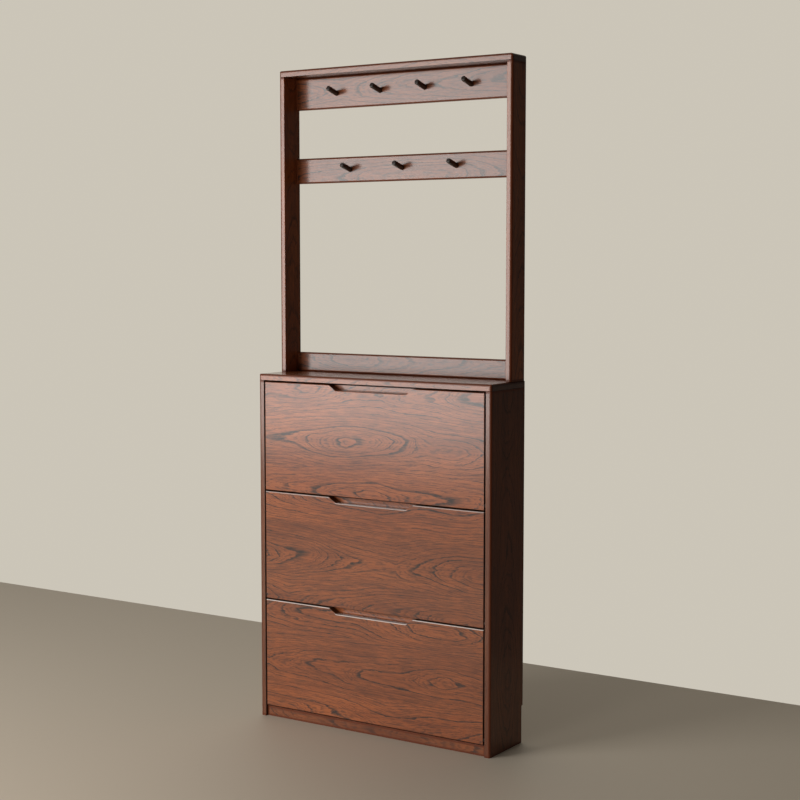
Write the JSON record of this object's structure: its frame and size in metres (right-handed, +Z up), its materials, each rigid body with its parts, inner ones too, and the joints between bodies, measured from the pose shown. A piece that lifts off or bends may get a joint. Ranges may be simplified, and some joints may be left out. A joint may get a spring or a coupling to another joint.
{
  "type": "hall tree with shoe flaps",
  "caption": "Slim hall tree: a shallow cabinet with stacked tilt-out shoe flaps and a tall frame above it that carries two rows of coat pegs.",
  "frame": {"origin": "on the floor, at the middle of the cabinet's footprint", "axes": "+Z up, +X to the right seen from the front, -Y out of the front of the flaps"},
  "size_m": [0.8, 0.192, 1.942],
  "materials": {
    "stained_oak": "walnut-stained open-grain oak, satin lacquer",
    "peg_wood": "near-black stained wood, satin lacquer",
    "inner_board": "brown-stained plywood, matt lacquer",
    "beech_dowel": "bare beech",
    "dark_plastic": "matt black moulding",
    "nylon": "natural nylon",
    "pin_steel": "zinc-plated steel",
    "magnet_steel": "plated steel"
  },
  "bodies": {
    "cabinet": {"side_panel_left": "stained_oak", "side_panel_right": "stained_oak", "top_panel": "stained_oak", "plinth": "stained_oak", "bottom_board": "stained_oak", "back_panel": "inner_board", "wall_rail": "inner_board", "rear_brace": "inner_board", "pivot_pins": "pin_steel", "stop_pins": "pin_steel", "catch_housings": "dark_plastic", "catch_magnets": "magnet_steel", "cabinet_dowels": "beech_dowel", "frame_stile_left": "stained_oak", "frame_stile_right": "stained_oak", "frame_top_board": "stained_oak", "hook_rail_upper": "stained_oak", "hook_rail_lower": "stained_oak", "frame_foot_rail": "stained_oak", "coat_pegs_upper": "peg_wood", "coat_pegs_lower": "peg_wood", "frame_dowels": "beech_dowel"},
    "flap_bottom": {"flap_bottom_front": "stained_oak", "flap_bottom_grip": "stained_oak", "flap_bottom_fan_left": "dark_plastic", "flap_bottom_fan_right": "dark_plastic", "flap_bottom_tray": "inner_board", "flap_bottom_rear_board": "inner_board", "flap_bottom_bushes": "nylon", "flap_bottom_catch_plates": "magnet_steel", "flap_bottom_screws": "pin_steel"},
    "flap_middle": {"flap_middle_front": "stained_oak", "flap_middle_grip": "stained_oak", "flap_middle_fan_left": "dark_plastic", "flap_middle_fan_right": "dark_plastic", "flap_middle_tray": "inner_board", "flap_middle_rear_board": "inner_board", "flap_middle_bushes": "nylon", "flap_middle_catch_plates": "magnet_steel", "flap_middle_screws": "pin_steel"},
    "flap_top": {"flap_top_front": "stained_oak", "flap_top_grip": "stained_oak", "flap_top_fan_left": "dark_plastic", "flap_top_fan_right": "dark_plastic", "flap_top_tray": "inner_board", "flap_top_rear_board": "inner_board", "flap_top_bushes": "nylon", "flap_top_catch_plates": "magnet_steel", "flap_top_screws": "pin_steel"}
  },
  "joints": [
    {"name": "flap_bottom_tilt", "type": "hinge", "parent": "cabinet", "child": "flap_bottom", "pos_m": [0, -0.087, 0.048], "axis": [1, 0, 0], "range_deg": [0, 48]},
    {"name": "flap_middle_tilt", "type": "hinge", "parent": "cabinet", "child": "flap_middle", "pos_m": [0, -0.087, 0.37667], "axis": [1, 0, 0], "range_deg": [0, 48]},
    {"name": "flap_top_tilt", "type": "hinge", "parent": "cabinet", "child": "flap_top", "pos_m": [0, -0.087, 0.70533], "axis": [1, 0, 0], "range_deg": [0, 48]}
  ]
}
